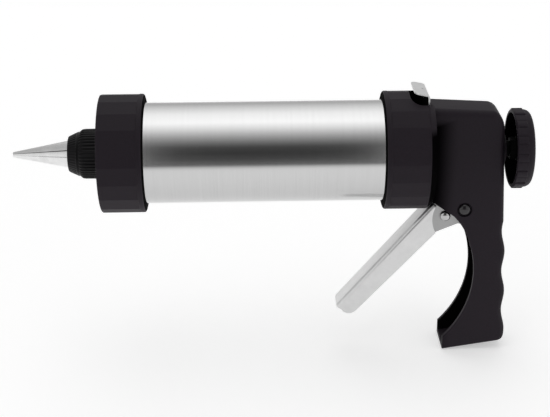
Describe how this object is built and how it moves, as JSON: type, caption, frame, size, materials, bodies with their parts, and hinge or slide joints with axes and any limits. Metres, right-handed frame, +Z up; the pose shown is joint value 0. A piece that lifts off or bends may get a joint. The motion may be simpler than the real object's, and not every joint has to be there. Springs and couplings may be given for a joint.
{
  "type": "cookie press",
  "caption": "Hand-held cookie press: trigger-driven piston rod in a steel barrel, with a screwed front ring, a nozzle and a pistol grip.",
  "frame": {"origin": "bottom centre of the bounding box: under the middle of the length from nozzle to knob, on the plane of symmetry, level with the grip's lowest point", "axes": "+X along the barrel from the nozzle towards the knob, +Z up with the grip hanging down, +Y across, away from the camera"},
  "size_m": [0.2566, 0.0588, 0.1397],
  "materials": {
    "black_plastic": "black moulded plastic with a fine matte grain",
    "brushed_steel": "stainless steel, brushed round the barrel",
    "bright_steel": "stainless steel with a smooth satin finish",
    "brass": "turned brass",
    "rubber": "pale food-safe silicone"
  },
  "bodies": {
    "handle": {"handle_housing": "black_plastic", "barrel_tube": "brushed_steel", "barrel_gasket": "rubber", "front_bush": "brass", "rear_bush": "black_plastic", "guide_plate": "brushed_steel", "trigger_pivot_pin": "black_plastic", "pivot_clip": "bright_steel", "drive_spring": "bright_steel", "brake_spring": "bright_steel"},
    "trigger": {"trigger_lever": "bright_steel", "spacer_rivet": "bright_steel"},
    "drive": {"drive_plate": "brushed_steel"},
    "release": {"brake_plate": "brushed_steel"},
    "piston": {"piston_disc": "black_plastic", "piston_seal": "rubber"},
    "rod": {"piston_rod": "bright_steel", "piston_washer": "bright_steel", "piston_nut": "bright_steel", "knob_nut": "bright_steel", "knob": "black_plastic"},
    "nozzle": {"nozzle_adaptor": "black_plastic"},
    "ring": {"front_ring": "black_plastic"},
    "tip": {"nozzle_tip": "bright_steel"},
    "coupling": {"coupling_nut": "black_plastic"}
  },
  "joints": [
    {"name": "trigger_squeeze", "type": "hinge", "parent": "handle", "child": "trigger", "pos_m": [0.0961, 0, 0.0781], "axis": [0, -1, 0], "range_deg": [0, 32], "stiffness_Nm_per_rad": 0.6, "springref_deg": -17.19},
    {"name": "drive_travel", "type": "slide", "parent": "handle", "child": "drive", "axis": [-1, 0, 0], "range_m": [0, 0.0084], "deforming": ["drive_spring"]},
    {"name": "release_tilt", "type": "hinge", "parent": "handle", "child": "release", "pos_m": [0.0753, 0, 0.0893], "axis": [0, -1, 0], "range_deg": [0, 5], "stiffness_Nm_per_rad": 1, "springref_deg": -5.73, "deforming": ["brake_spring"]},
    {"name": "piston_travel", "type": "slide", "parent": "handle", "child": "piston", "axis": [1, 0, 0], "range_m": [0, 0.12]},
    {"name": "rod_turn", "type": "hinge", "parent": "piston", "child": "rod", "pos_m": [0, 0, 0.1068], "axis": [1, 0, 0], "continuous": true},
    {"name": "nozzle_travel", "type": "slide", "parent": "handle", "child": "nozzle", "axis": [-1, 0, 0], "range_m": [0, 0.008]},
    {"name": "ring_turn", "type": "hinge", "parent": "nozzle", "child": "ring", "pos_m": [-0.0731, 0, 0.1068], "axis": [-1, 0, 0], "range_deg": [0, 720]},
    {"name": "tip_travel", "type": "slide", "parent": "nozzle", "child": "tip", "axis": [-1, 0, 0], "range_m": [0, 0.004]},
    {"name": "coupling_turn", "type": "hinge", "parent": "tip", "child": "coupling", "pos_m": [-0.0927, 0, 0.1068], "axis": [-1, 0, 0], "range_deg": [0, 720]}
  ],
  "couplings": [
    {"joint": "drive_travel", "follows": "trigger_squeeze", "m_per_rad": 0.015},
    {"joint": "nozzle_travel", "follows": "ring_turn", "m_per_rad": 0.0006366},
    {"joint": "tip_travel", "follows": "coupling_turn", "m_per_rad": 0.0003183}
  ]
}
